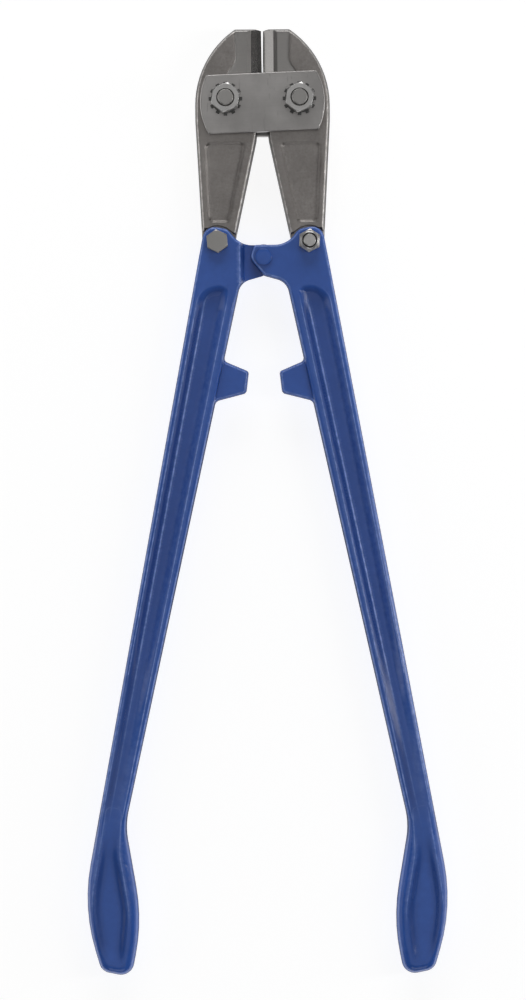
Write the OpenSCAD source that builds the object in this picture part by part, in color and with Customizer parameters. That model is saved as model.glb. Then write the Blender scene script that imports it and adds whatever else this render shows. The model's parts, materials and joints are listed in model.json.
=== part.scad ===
/* Bolt cutters, 24 inch class, lying flat on their back.
   Both jaws turn on two bolts between a pair of link plates.  Each handle is forked
   over its jaw's tail and both handles meet in a half-lap on the centre rivet.
   Sizes are in millimetres.  +Y points at the jaws, +Z is the front, and the origin
   is under the middle of the footprint, on the plane the tool rests on.

   The linkage is laid out about the centre rivet ("tool" coordinates, z = 0 in the
   middle of the thickness).  Each handle has its own "handle" coordinates: the rivet
   is the origin, the handle hangs straight down, and x grows towards its outer edge. */

/* [Linkage] */
// Half the distance between the two jaw bolts
jaw_pivot_x = 23.6; // [20:0.1:30]
// Height of the jaw bolts above the centre rivet
jaw_pivot_y = 100.8; // [80:0.1:120]
// Half the distance between the two handle bolts
tail_pivot_x = 29.5; // [24:0.1:34]
// Height of the handle bolts above the centre rivet
tail_pivot_y = 10.1; // [6:0.1:16]
// How far each handle leans out from straight down, as posed
handle_lean = 11.3; // [5:0.1:20]
// How far each jaw still has to turn before the cutting edges meet
jaw_gap_angle = 0.7; // [0:0.1:3]

/* [Jaws] */
// Thickness of the jaws
jaw_t = 12; // [8:0.5:16]
// Height of the jaw tips above the centre rivet
jaw_tip_y = 146.2; // [130:0.1:160]
// Half width across the jaws at their widest
jaw_half_w = 43.1; // [36:0.1:50]
// Width of the ground bevel beside each cutting edge
bevel_w = 7.2; // [4:0.1:10]
// Width of the flatter second bevel behind the first
facet_w = 2.5; // [1:0.1:4]
// Depth of the ground land beside the bevel
land_depth = 0.4; // [0.2:0.1:1]
// Depth of the sunk panel on each face of a jaw tail
panel_depth = 1.2; // [0.5:0.1:2]
// Thickness of the tongue that enters the handle's fork
tongue_t = 7; // [5:0.5:10]

/* [Link plates] */
// Radius of the disc that the link plates are cut from
plate_r = 39.8; // [36:0.1:46]
// Height of the link plates
plate_h = 37.8; // [30:0.1:44]
// Thickness of each link plate
plate_t = 5; // [3:0.5:8]
// Height of the front plate's middle above the centre rivet
plate_y = 98.6; // [90:0.1:105]
// How much lower the rear plate sits
rear_plate_drop = 1.4; // [0:0.1:3]
// How far the front plate is turned on its bolts
plate_turn = 2.2; // [0:0.1:4]

/* [Handles] */
// Thickness of the handles
handle_t = 15; // [12:0.5:22]
// Thickness of the web between the two flanges
web_t = 5; // [3:0.5:10]
// Width of the bevel round the beam and the grip
edge_bevel = 1.4; // [0.5:0.1:3]
// Distance from the rivet to the end of the grip
handle_reach = 468.6; // [400:0.1:520]
// Thickness of the stop lugs between the handles
stop_t = 7; // [5:0.5:12]
// Depth of the trough in each face of the grip
trough_depth = 1.8; // [0.5:0.1:3]
// Distance from the rivet to the foot of the sloping wall behind the lap
lap_x = 12.1; // [12:0.1:14]

/* [Fasteners] */
// Radius of the jaw bolts' shanks, M10
jaw_bolt_r = 5; // [4:0.5:6]
// Width across the flats of the jaw bolts and nuts
jaw_bolt_flats = 17; // [13:0.1:19]
// Radius of the handle bolts' shanks, M8
tail_bolt_r = 4; // [3:0.5:5]
// Width across the flats of the handle bolts and nuts
tail_bolt_flats = 13; // [10:0.1:17]
// Radius of the centre rivet's shank
rivet_r = 4; // [3:0.5:5]
// Radius of the centre rivet's heads
rivet_head_r = 5.4; // [5:0.1:8]
// Free movement between the rivet and the eye in the left handle
eye_play = 2.4; // [0:0.1:3]
// Number of teeth on each toothed washer
washer_teeth = 12; // [8:1:24]

/* [Hidden] */
$fn = 96;
eps = 0.01;
arc_step = 6;            // degrees per segment on rounded corners
pin_gap = 0.05;          // radial running clearance of every pin
side_gap = 0.15;         // clearance between sliding faces
jaw_pivot = [jaw_pivot_x, jaw_pivot_y];
tail_pivot = [tail_pivot_x, tail_pivot_y];
plate_z = jaw_t / 2 + side_gap;
plate_face = plate_z + plate_t;
jaw_head_h = 6.4;
jaw_nut_h = 8;
washer_h = 1;
tail_head_h = 5.3;
tail_nut_h = 8;
nut_collar_h = 2.2;      // round top of a locking nut, which holds the nylon ring
rivet_head_h = 2.6;
washer_ring_h = 1.5;
rest_z = plate_face + jaw_head_h;   // the jaw bolts' heads are the lowest faces
ear_r = 10.1;            // from the handle bolt to the ear's outer edge
ear_top = 8.6;           // from the handle bolt to the ear's top edge
lap_draft = 3.1;         // how far the lap's wall slopes back from its foot to the face
bevel_top = 4.8;         // height of the line between the two bevels
slot_r = 13.2;
slot_t = tongue_t + 2 * side_gap;
tongue_end_r = 9;
shoulder_r = 10.9;       // the tail thins to the tongue inside this radius of its bolt
tail_local = turn(tail_pivot, -handle_lean);
grip_top = -374;
grip_end_r = 8.5;
grip_low = turn([grip_end_r - 4.4, grip_end_r - handle_reach], handle_lean).y - grip_end_r;
footprint_mid_y = (jaw_tip_y + grip_low) / 2;

// ---- Outlines -------------------------------------------------------------------

function turn(p, a) = [p.x * cos(a) - p.y * sin(a), p.x * sin(a) + p.y * cos(a)];
function unit(v) = v / norm(v);

// The arc that rounds corner q, with p before it and s after it.
function corner_arc(p, q, s) =
    let (at = [q[0], q[1]],
         back = unit([p[0], p[1]] - at),
         ahead = unit([s[0], s[1]] - at),
         half = acos(back * ahead) / 2,
         start = at + back * q[2] / tan(half),
         centre = at + unit(back + ahead) * q[2] / sin(half),
         sweep = 180 - 2 * half,
         way = back.x * ahead.y - back.y * ahead.x > 0 ? -1 : 1,
         steps = max(2, ceil(sweep / arc_step)))
    [for (i = [0 : steps]) centre + turn(start - centre, way * sweep * i / steps)];

// A closed outline from corners [x, y, radius].
function rounded(corners) =
    let (n = len(corners))
    [for (i = [0 : n - 1])
        each (corners[i][2] > 0
            ? corner_arc(corners[(i + n - 1) % n], corners[i], corners[(i + 1) % n])
            : [[corners[i][0], corners[i][1]]])];

// A slab of the 2-D children, centred on z = 0.
module slab(t) {
    linear_extrude(t, center = true) children();
}

// The 2-D children made solid from z0 to z1.
module layer(z0, z1) {
    translate([0, 0, z0]) linear_extrude(z1 - z0) children();
}

// Puts tool coordinates into the frame of the whole object.
module place() {
    translate([0, -footprint_mid_y, rest_z]) children();
}

// side is 1 for the right half of the tool and -1 for the left half.
module on_side(side) {
    mirror([side < 0 ? 1 : 0, 0, 0]) children();
}

module in_handle() {
    rotate(handle_lean) children();
}

module hole(at, r) {
    translate([at.x, at.y, -50]) cylinder(r = r, h = 100);
}

// ---- Jaws -----------------------------------------------------------------------

// x of the cutting edge at height y: when closed, both edges are 0.1 mm from the middle.
function edge_x(y) = 0.1 + (y - jaw_pivot_y) * sin(jaw_gap_angle);

// Right jaw, tip to tail and back up the inner edge of the tail.
module jaw_outline() {
    polygon(rounded([
        [edge_x(jaw_tip_y - 1.0), jaw_tip_y - 1.0, 0.3],
        [4.4, jaw_tip_y, 2],
        [17.4, jaw_tip_y, 1.5],
        [jaw_half_w, jaw_tip_y - 17.9, 58.8],
        [jaw_half_w, jaw_pivot_y - 13, 60],
        [tail_pivot_x + tongue_end_r, tail_pivot_y - tongue_end_r, tongue_end_r],
        [19.6, 2.2, 8],
        [4.0, 74.3, 4],
        [edge_x(jaw_pivot_y + 5), jaw_pivot_y + 5, 0]]));
}

// The metal ground away beside the cutting edge, in front: a steep bevel that starts at
// the edge, and a flatter one from there to the land.
module bevel_cut() {
    low = jaw_pivot_y + 9;
    translate([0, low + 50, 0]) rotate([90, 0, 0]) linear_extrude(50)
        polygon([[-2, 0.35], [0.5, 0.35], [bevel_w, bevel_top],
                 [bevel_w + facet_w, jaw_t / 2 - land_depth], [bevel_w + facet_w, jaw_t],
                 [-2, jaw_t]]);
}

// The ground land, which widens towards its lower end under the link plate.
module land_cut() {
    low = jaw_pivot_y + 11.2;
    layer(jaw_t / 2 - land_depth, jaw_t)
        polygon(rounded([[-2, low, 0], [27, low, 0], [17.4, low + 13.5, 8],
                         [18.4, jaw_tip_y + 4, 0], [-2, jaw_tip_y + 4, 0]]));
}

module panel_cut() {
    layer(jaw_t / 2 - panel_depth, jaw_t)
        polygon(rounded([[37.4, 73.6, 4], [11.0, 73.6, 3], [21.9, 22.4, 3], [34.9, 22.4, 4]]));
}

// Leaves only the tongue below the shoulder of the tail.  The shoulder follows the ear of
// the handle, and its two sides clear the handle at the ends of the handle's travel.
module tongue_cut() {
    layer(tongue_t / 2, jaw_t) translate(tail_pivot) {
        circle(shoulder_r);
        polygon([[-16.5, 1.3], [-5.5, 9.4], [6.5, 8.8], [15.5, 3.2], [15.5, -20],
                 [-16.5, -20]]);
    }
}

module jaw(side) {
    on_side(side) difference() {
        slab(jaw_t) jaw_outline();
        for (face = [0, 1]) mirror([0, 0, face]) {
            bevel_cut();
            land_cut();
            panel_cut();
            tongue_cut();
        }
        hole(jaw_pivot, jaw_bolt_r + pin_gap);
        hole(tail_pivot, tail_bolt_r + pin_gap);
    }
}

// ---- Link plates ----------------------------------------------------------------

// A disc with its top and bottom cut off straight.
module plate_outline() {
    intersection() {
        circle(plate_r, $fn = 180);
        square([3 * plate_r, plate_h], center = true);
    }
}

module link_plate(z, mid_y, angle) {
    difference() {
        translate([0, mid_y, z]) rotate(angle) linear_extrude(plate_t) plate_outline();
        hole(jaw_pivot, jaw_bolt_r + pin_gap);
        hole([-jaw_pivot_x, jaw_pivot_y], jaw_bolt_r + pin_gap);
    }
}

// ---- Handles, in handle coordinates ----------------------------------------------

// From the ear along the top of the lug, round the rivet, down the inner edge with the
// stop lug, round the grip and back up the outer edge.
module handle_outline() {
    polygon(rounded([
        [tail_local.x + ear_r, tail_local.y + ear_top, 8.2],
        [25.5, tail_local.y + ear_top, 7],
        [16.5, 5.0, 16],
        [-4.5, 9.2, 2.5],
        [-8.9, 1.3, 6],
        [-2.1, -11.4, 3],
        [11.4, -18.3, 10],
        [12.3, -69.8, 3],
        [-4.7, -73.4, 2.2],
        [-5.8, -87.4, 3],
        [12.5, -96.2, 4],
        [17.8, grip_top, 47],
        [-4.4, -432, 120],
        [-4.4, -handle_reach, grip_end_r],
        [15, -handle_reach, 8],
        [34.7, -431.4, 118]]));
}

// The long straight part between the lug and the grip.
module beam_outline(inset) {
    polygon([[11.5 + inset, -28], [17.8 + inset, grip_top], [35.55 - inset, grip_top],
             [40.93 - inset, -28]]);
}

module grip_outline() {
    polygon(rounded([
        [17.8, grip_top, 0],
        [-4.4, -432, 120],
        [-4.4, -handle_reach, grip_end_r],
        [15, -handle_reach, 8],
        [34.7, -431.4, 118],
        [35.55, grip_top, 0]]));
}

// The head: both ears, the lug, and the top of the beam at full thickness.
module head_outline() {
    intersection() {
        handle_outline();
        translate([-20, -28]) square([80, 60]);
    }
}

module grip() {
    hull() {
        slab(handle_t - 5) grip_outline();
        slab(handle_t) offset(delta = -edge_bevel - 0.6) grip_outline();
    }
}

module beam() {
    hull() {
        slab(handle_t - 2 * edge_bevel) beam_outline(0);
        slab(handle_t) beam_outline(edge_bevel);
    }
}

// Drafted pocket beside the web, in front.
module web_pocket() {
    hull() {
        layer(handle_t / 2, handle_t / 2 + 1)
            polygon(rounded([[36.4, -23.2, 13], [17.6, -22.6, 4.5], [21.6, -352, 4],
                             [31.6, -352, 4]]));
        layer(web_t / 2, web_t / 2 + eps)
            polygon(rounded([[32.4, -35, 8], [20.8, -33, 4], [24.6, -346, 2], [28.6, -346, 2]]));
    }
}

// Shallow dished trough in the face of the grip.
module grip_trough() {
    hull() {
        layer(handle_t / 2, handle_t / 2 + 1)
            polygon(rounded([[30.4, -384, 3], [19.4, -384, 3], [1.8, -434, 60],
                             [1.8, -460, 6], [14.4, -460, 7], [30.4, -428, 80]]));
        layer(handle_t / 2 - trough_depth, handle_t / 2 - trough_depth + eps)
            polygon(rounded([[27.4, -388, 2], [21.8, -388, 2], [4.8, -436, 60],
                             [4.8, -457, 4], [12.6, -457, 5], [27.4, -426, 80]]));
    }
}

// The slot between the ears, open at the top.
module fork_slot() {
    slab(slot_t) translate(tail_local) {
        circle(slot_r);
        translate([-slot_r, 0]) square([2 * slot_r, 30]);
    }
}

// Takes away one half of the lug's thickness, back to a straight wall that slopes with the
// forging draft and stands upright in tool coordinates.
module lap_cut(front) {
    lap_gap = 0.1;
    wall_x = lap_x + lap_draft;
    mirror([0, 0, front ? 0 : 1]) rotate(-handle_lean) translate([0, 40, 0])
        rotate([90, 0, 0]) linear_extrude(80)
            polygon([[-20, -lap_gap], [lap_x, -lap_gap], [wall_x, handle_t / 2],
                     [wall_x, handle_t], [-20, handle_t]]);
}

module thin_stop() {
    for (face = [0, 1]) mirror([0, 0, face])
        layer(stop_t / 2, handle_t) translate([-20, -110]) square([31.6, 50]);
}

module handle_shape() {
    difference() {
        union() {
            slab(handle_t - 2 * edge_bevel) handle_outline();
            slab(handle_t) head_outline();
            beam();
            grip();
        }
        for (face = [0, 1]) mirror([0, 0, face]) {
            web_pocket();
            grip_trough();
        }
        fork_slot();
        thin_stop();
        hole(tail_local, tail_bolt_r + pin_gap);
    }
}

// The right handle's lug is the front half of the lap and holds the rivet tightly.
module right_handle() {
    in_handle() difference() {
        handle_shape();
        lap_cut(front = false);
        hole([0, 0], rivet_r + pin_gap);
    }
}

// The left handle's lug is the rear half and moves a little on the rivet.
module left_handle() {
    on_side(-1) in_handle() difference() {
        handle_shape();
        lap_cut(front = true);
        hole([0, 0], rivet_r + eye_play);
    }
}

// ---- Fasteners --------------------------------------------------------------------

// A hexagonal prism, its upper corners turned down to a cone.
module hex_head(flats, h) {
    corner_r = flats / sqrt(3);
    intersection() {
        cylinder(r = corner_r, h = h, $fn = 6);
        cylinder(r1 = flats / 2 + 2.4 * h, r2 = flats / 2 - 0.1, h = h);
    }
}

module hex_nut(flats, h, bore_r) {
    difference() {
        hex_head(flats, h);
        translate([0, 0, -1]) cylinder(r = bore_r, h = h + 2);
        translate([0, 0, h - 0.8]) cylinder(r1 = bore_r, r2 = bore_r + 0.9, h = 0.81);
    }
}

// Head below z = 0, shank upwards, with a chamfered end.
module hex_bolt(flats, head_h, r, length) {
    mirror([0, 0, 1]) hex_head(flats, head_h);
    rotate_extrude()
        polygon([[0, -eps], [r, -eps], [r, length - 1], [r - 1, length], [0, length]]);
}

module jaw_bolt(side) {
    translate([side * jaw_pivot_x, jaw_pivot_y, -plate_face])
        rotate(15 + 12 * side)
            hex_bolt(jaw_bolt_flats, jaw_head_h, jaw_bolt_r,
                     2 * plate_face + washer_h + jaw_nut_h + 2.4);
}

module jaw_nut(side) {
    translate([side * jaw_pivot_x, jaw_pivot_y, plate_face + washer_h])
        rotate(22 + side)
            hex_nut(jaw_bolt_flats, jaw_nut_h, jaw_bolt_r + pin_gap);
}

// A flat ring with square teeth round its rim.
module toothed_washer() {
    linear_extrude(washer_h) difference() {
        union() {
            circle(9.2);
            for (i = [1 : washer_teeth])
                rotate(360 * i / washer_teeth) translate([8, -1.2]) square([2.8, 2.4]);
        }
        circle(jaw_bolt_r + pin_gap);
    }
}

module jaw_washer(side) {
    translate([side * jaw_pivot_x, jaw_pivot_y, plate_face]) toothed_washer();
}

// The left bolt has its head in front, the right bolt has it at the back.
module tail_bolt(side) {
    length = handle_t + tail_nut_h + 0.6;
    translate([side * tail_pivot_x, tail_pivot_y, 0])
        mirror([0, 0, side < 0 ? 1 : 0])
            translate([0, 0, -handle_t / 2]) rotate(35)
                hex_bolt(tail_bolt_flats, tail_head_h, tail_bolt_r, length);
}

// Locking nut: a hexagon with a round collar that holds a nylon ring.
module locking_nut() {
    hex_h = tail_nut_h - nut_collar_h;
    difference() {
        union() {
            hex_head(tail_bolt_flats, hex_h);
            cylinder(r = tail_bolt_flats / 2 - 0.6, h = tail_nut_h);
        }
        translate([0, 0, -1]) cylinder(r = tail_bolt_r + pin_gap, h = tail_nut_h + 2);
        translate([0, 0, hex_h]) cylinder(r = tail_bolt_r + 1.3, h = tail_nut_h);
    }
}

module nylon_ring() {
    difference() {
        translate([0, 0, tail_nut_h - nut_collar_h])
            cylinder(r = tail_bolt_r + 1.3, h = nut_collar_h - 0.4);
        cylinder(r = tail_bolt_r + pin_gap, h = tail_nut_h);
    }
}

module at_tail_nut(side) {
    translate([side * tail_pivot_x, tail_pivot_y, 0])
        mirror([0, 0, side < 0 ? 1 : 0])
            translate([0, 0, handle_t / 2]) rotate(27)
                children();
}

// One piece: a low domed head in front, the shank, and the riveted end behind.
module centre_rivet() {
    back = -handle_t / 2 - washer_ring_h - side_gap;
    rotate_extrude() polygon([
        [0, back - rivet_head_h],
        [rivet_head_r - 1.8, back - rivet_head_h],
        [rivet_head_r, back - rivet_head_h + 1.4],
        [rivet_head_r, back],
        [rivet_r, back],
        [rivet_r, handle_t / 2],
        [rivet_head_r, handle_t / 2],
        [rivet_head_r, handle_t / 2 + 1.3],
        [rivet_head_r - 1.6, handle_t / 2 + rivet_head_h],
        [0, handle_t / 2 + rivet_head_h]]);
}

module rivet_washer() {
    translate([0, 0, -handle_t / 2 - side_gap - washer_ring_h]) difference() {
        cylinder(r = rivet_r + eye_play + 2.8, h = washer_ring_h);
        translate([0, 0, -1]) cylinder(r = rivet_r + pin_gap, h = washer_ring_h + 2);
    }
}

// ---- The nodes --------------------------------------------------------------------

steel = [0.45, 0.44, 0.43];
plate_grey = [0.50, 0.49, 0.48];
zinc = [0.66, 0.65, 0.63];
enamel = [0.17, 0.28, 0.56];
nylon = [0.12, 0.12, 0.13];

color(plate_grey) place() link_plate(plate_z, plate_y, plate_turn);  // front_link_plate
color(plate_grey) place() link_plate(-plate_face, plate_y - rear_plate_drop, 0);  // rear_link_plate
color(steel) place() jaw(-1);  // left_jaw
color(steel) place() jaw(1);  // right_jaw
color(zinc) place() jaw_bolt(-1);  // left_jaw_bolt
color(zinc) place() jaw_bolt(1);  // right_jaw_bolt
color(zinc) place() jaw_nut(-1);  // left_jaw_nut
color(zinc) place() jaw_nut(1);  // right_jaw_nut
color(zinc) place() jaw_washer(-1);  // left_jaw_washer
color(zinc) place() jaw_washer(1);  // right_jaw_washer
color(enamel) place() left_handle();
color(enamel) place() right_handle();
color(enamel) place() centre_rivet();
color(enamel) place() rivet_washer();
color(zinc) place() tail_bolt(-1);  // left_handle_bolt
color(zinc) place() tail_bolt(1);  // right_handle_bolt
color(zinc) place() at_tail_nut(-1) locking_nut();  // left_handle_nut
color(zinc) place() at_tail_nut(1) locking_nut();  // right_handle_nut
color(nylon) place() at_tail_nut(-1) nylon_ring();  // left_nut_ring
color(nylon) place() at_tail_nut(1) nylon_ring();  // right_nut_ring
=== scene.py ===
"""Bolt cutters lying flat, seen from straight above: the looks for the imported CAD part.

The forged pieces are height fields.  Each has a flat outline, and two functions give the
height of its front and back face above the parting plane.  Work is done in millimetres in
tool coordinates (the centre rivet is the origin) and scaled to metres when a mesh is made.
"""

import json
import math

import bpy
import numpy as np
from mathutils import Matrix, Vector
from mathutils.geometry import delaunay_2d_cdt
from mathutils.kdtree import KDTree


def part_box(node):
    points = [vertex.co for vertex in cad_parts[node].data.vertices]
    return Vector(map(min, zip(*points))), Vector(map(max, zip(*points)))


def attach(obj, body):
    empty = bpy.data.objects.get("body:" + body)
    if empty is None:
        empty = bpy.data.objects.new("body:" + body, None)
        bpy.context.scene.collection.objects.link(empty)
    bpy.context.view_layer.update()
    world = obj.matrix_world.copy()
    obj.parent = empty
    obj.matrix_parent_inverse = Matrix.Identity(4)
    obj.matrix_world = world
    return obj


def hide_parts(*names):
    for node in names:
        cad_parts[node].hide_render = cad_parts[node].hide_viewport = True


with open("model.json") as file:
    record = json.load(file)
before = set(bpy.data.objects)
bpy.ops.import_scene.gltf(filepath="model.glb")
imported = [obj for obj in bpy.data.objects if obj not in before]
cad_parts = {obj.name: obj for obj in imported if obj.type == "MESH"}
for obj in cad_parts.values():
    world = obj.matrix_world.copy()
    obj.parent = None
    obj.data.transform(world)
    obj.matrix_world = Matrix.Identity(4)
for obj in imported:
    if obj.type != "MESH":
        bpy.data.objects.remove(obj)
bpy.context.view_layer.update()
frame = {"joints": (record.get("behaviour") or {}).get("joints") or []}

MM = 0.001

# ---- Places and sizes, read from the frame -------------------------------------------

def pivot(joint):
    """Where a joint's axis crosses the tool, in tool coordinates."""
    x, y, _ = JOINT_AT[joint]
    return np.array([x / MM, y / MM - RIVET_Y])


JOINT_AT = {j["name"]: j["pos_m"] for j in frame["joints"]}
rivet_low, rivet_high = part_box("centre_rivet")
RIVET_Y = (rivet_low.y + rivet_high.y) / 2 / MM
MID_Z = JOINT_AT["left_jaw_turn"][2] / MM
JAW_PIVOT = pivot("right_jaw_turn")
TAIL_PIVOT = pivot("right_handle_fold")
HANDLE_LEAN = math.radians(11.3)
HANDLE_HALF = (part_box("left_handle")[1].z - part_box("left_handle")[0].z) / 2 / MM
JAW_HALF = (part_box("left_jaw")[1].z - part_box("left_jaw")[0].z) / 2 / MM
PLATE_T = (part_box("front_link_plate")[1].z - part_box("front_link_plate")[0].z) / MM
PLATE_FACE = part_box("front_link_plate")[1].z / MM - MID_Z

# ---- Sizes that several pieces share -------------------------------------------------

JAW_BOLT_R = 5.0        # M10
TAIL_BOLT_R = 4.0       # M8
RIVET_R = 4.0
PIN_GAP = 0.05          # radial clearance of every bolt and of the rivet
THROUGH = 20            # half length of a cutter that goes right through
ARC_STEP = 5.0          # degrees between the points of a rounded corner


def turn(p, angle):
    """Turns points about the origin."""
    p = np.asarray(p, float)
    c, s = math.cos(angle), math.sin(angle)
    return np.stack([p[..., 0] * c - p[..., 1] * s, p[..., 0] * s + p[..., 1] * c], -1)


# ---- Outlines ------------------------------------------------------------------------

def rounded(corners):
    """A closed outline from corners (x, y, radius), its corners rounded by arcs."""
    out = []
    count = len(corners)
    for i, (x, y, r) in enumerate(corners):
        at = np.array([x, y])
        if r <= 0:
            out.append(at)
            continue
        back = np.array(corners[i - 1][:2]) - at
        ahead = np.array(corners[(i + 1) % count][:2]) - at
        back = back / np.linalg.norm(back)
        ahead = ahead / np.linalg.norm(ahead)
        half = math.acos(max(-1.0, min(1.0, back @ ahead))) / 2
        start = at + back * r / math.tan(half)
        middle = back + ahead
        centre = at + middle / np.linalg.norm(middle) * r / math.sin(half)
        sweep = math.pi - 2 * half
        if back[0] * ahead[1] - back[1] * ahead[0] > 0:
            sweep = -sweep
        parts = max(2, math.ceil(abs(math.degrees(sweep)) / ARC_STEP))
        out += [centre + turn(start - centre, sweep * k / parts) for k in range(parts + 1)]
    return np.array(out)


def evenly(loop, spacing):
    """The same closed loop with points added along its long stretches."""
    out = []
    for p, q in zip(loop, np.roll(loop, -1, 0)):
        parts = max(1, math.ceil(np.linalg.norm(q - p) / spacing))
        out += [p + (q - p) * k / parts for k in range(parts)]
    return np.array(out)


def inside_distance(points, loop):
    """Distance from each point to a closed loop, positive inside it.  Looks only at the
    stretches of the loop beside its nearest point."""
    points = np.asarray(points, float).reshape(-1, 2)
    a = evenly(counter_clockwise(np.asarray(loop, float)), 0.5)
    edge = np.roll(a, -1, 0) - a
    length = np.maximum(np.linalg.norm(edge, axis=1), 1e-9)
    tree = KDTree(len(a))
    for k, (x, y) in enumerate(a):
        tree.insert((x, y, 0), k)
    tree.balance()
    nearest = np.array([tree.find((x, y, 0))[1] for x, y in points], dtype=int)
    best = np.full(len(points), np.inf)
    side = np.zeros(len(points))
    for shift in (-2, -1, 0, 1):
        k = (nearest + shift) % len(a)
        off = points - a[k]
        t = np.clip((off * edge[k]).sum(1) / length[k] ** 2, 0, 1)
        d = np.linalg.norm(off - t[:, None] * edge[k], axis=1)
        left = (edge[k, 0] * off[:, 1] - edge[k, 1] * off[:, 0]) / length[k]
        closer = (d < best - 1e-9) | ((d < best + 1e-9) & (np.abs(left) > np.abs(side)))
        best = np.where(closer, d, best)
        side = np.where(closer, left, side)
    return np.where(side >= 0, best, -best)


def ring(loop, inset):
    """The loop's points moved inwards by inset, without those that end up at another
    distance from the loop because it bends there."""
    tangent = np.roll(loop, -1, 0) - np.roll(loop, 1, 0)
    tangent /= np.maximum(np.linalg.norm(tangent, axis=1), 1e-9)[:, None]
    moved = loop + np.stack([-tangent[:, 1], tangent[:, 0]], 1) * inset
    d = inside_distance(moved, loop)
    return moved[np.abs(d - inset) < 0.08 + 0.05 * abs(inset)]


def counter_clockwise(loop):
    x, y = loop[:, 0], loop[:, 1]
    area = (x * np.roll(y, -1) - y * np.roll(x, -1)).sum()
    return loop if area > 0 else loop[::-1]


# ---- Profiles ------------------------------------------------------------------------

def eased(t, ease=0.25):
    """A ramp from 0 to 1 whose two ends are rounded over the share ease."""
    t = np.clip(t, 0, 1)
    low = t * t / (2 * ease * (1 - ease))
    mid = (t - ease / 2) / (1 - ease)
    high = 1 - (1 - t) ** 2 / (2 * ease * (1 - ease))
    return np.where(t < ease, low, np.where(t > 1 - ease, high, mid))


def edge_profile(d, top, band, draft, radius, crown_w=0.0, crown_h=0.0):
    """Height at distance d inside an outline: a thin land at the parting line, a drafted
    wall, a round edge, and a crowned strip up to the face at height top."""
    corner = top - crown_h
    shoulder = corner - radius
    wall = band + (shoulder - band) * np.clip(d / draft, 0, 1)
    t = np.clip((d - draft) / np.maximum(radius * 1.25, 1e-6), 0, 1)
    edge = shoulder + radius * np.sqrt(1 - (1 - t) ** 2)
    c = np.clip((d - draft - radius * 0.6) / max(crown_w, 1e-6), 0, 1)
    crown = crown_h * (1 - (1 - c) ** 2)
    return np.where(d < draft, wall, edge + crown)


def smooth_max(a, b, k):
    """The larger of a and b, with a fillet of about k where they meet."""
    h = np.clip(0.5 + 0.5 * (a - b) / k, 0, 1)
    return b + (a - b) * h + k * h * (1 - h)


# ---- Mesh making ---------------------------------------------------------------------

def make_object(name, vertices, faces, sharp=None):
    """A smooth-shaded object.  Edges bent by more than sharp degrees stay sharp."""
    mesh = bpy.data.meshes.new(name)
    mesh.from_pydata([tuple(v) for v in vertices], [], [tuple(f) for f in faces])
    mesh.validate()
    mesh.shade_smooth()
    if sharp is not None:
        mesh.set_sharp_from_angle(angle=math.radians(sharp))
    obj = bpy.data.objects.new(name, mesh)
    bpy.context.scene.collection.objects.link(obj)
    return obj


def to_frame(points):
    """Tool coordinates in millimetres to the CAD model's frame in metres."""
    return (np.asarray(points, float) + [0, RIVET_Y, MID_Z]) * MM


def flat_mesh(outline, rings, features, spacing):
    """Triangles that fill the outline, about spacing wide.  Points run beside the outline at
    the distances rings, and beside each feature, a (loop, distances) pair."""
    outline = counter_clockwise(outline)
    near_edge = [outline] + [ring(outline, r) for r in rings]
    loops = [ring(counter_clockwise(loop), inset) for loop, insets in features
             for inset in insets]
    rows = [[(start + i, start + (i + 1) % len(loop)) for i in range(len(loop))]
            for start, loop in zip(np.cumsum([0] + [len(loop) for loop in loops]), loops)]
    lines = np.concatenate([np.empty((0, 2)), *loops])
    keep = inside_distance(lines, outline) > rings[-1] + 0.3 * spacing
    place = np.cumsum(keep) - 1
    line_edges = [(place[i], place[j]) for row in rows for i, j in row
                  if keep[i] and keep[j] and math.dist(lines[i], lines[j]) < 2 * spacing]
    lines = lines[keep]
    low, high = outline.min(0), outline.max(0)
    levels = np.arange(low[1], high[1], spacing * math.sqrt(3) / 2)
    grid = [(x, y) for k, y in enumerate(levels)
            for x in np.arange(low[0] + spacing * (0.5 if k % 2 else 0), high[0], spacing)]
    grid = np.array(grid)
    grid = grid[inside_distance(grid, outline) > rings[-1] + 0.45 * spacing]
    cell = 0.55 * spacing
    taken = {(math.floor(p[0] / cell), math.floor(p[1] / cell)) for p in lines}
    crowded = [any((math.floor(p[0] / cell) + i, math.floor(p[1] / cell) + j) in taken
                   for i in (-1, 0, 1) for j in (-1, 0, 1)) for p in grid]
    grid = grid[~np.array(crowded)]
    points = np.concatenate([*near_edge, lines, grid])
    n = len(outline)
    edges = [(i, (i + 1) % n) for i in range(n)]
    first = sum(len(row) for row in near_edge)
    edges += [(int(i) + first, int(j) + first) for i, j in line_edges]
    found = delaunay_2d_cdt([Vector(p) for p in points], edges, [], 0, 1e-6)
    xy = np.array([tuple(v) for v in found[0]])
    tris = np.array([f for f in found[2]])
    keep = inside_distance(xy[tris].mean(1), outline) > 1e-4
    tris = tris[keep]
    a, b, c = xy[tris[:, 0]], xy[tris[:, 1]], xy[tris[:, 2]]
    area = (b[:, 0] - a[:, 0]) * (c[:, 1] - a[:, 1]) - (b[:, 1] - a[:, 1]) * (c[:, 0] - a[:, 0])
    tris[area < 0] = tris[area < 0][:, ::-1]
    used = np.unique(tris)
    renumber = np.full(len(xy), -1)
    renumber[used] = np.arange(len(used))
    return xy[used], renumber[tris]


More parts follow.
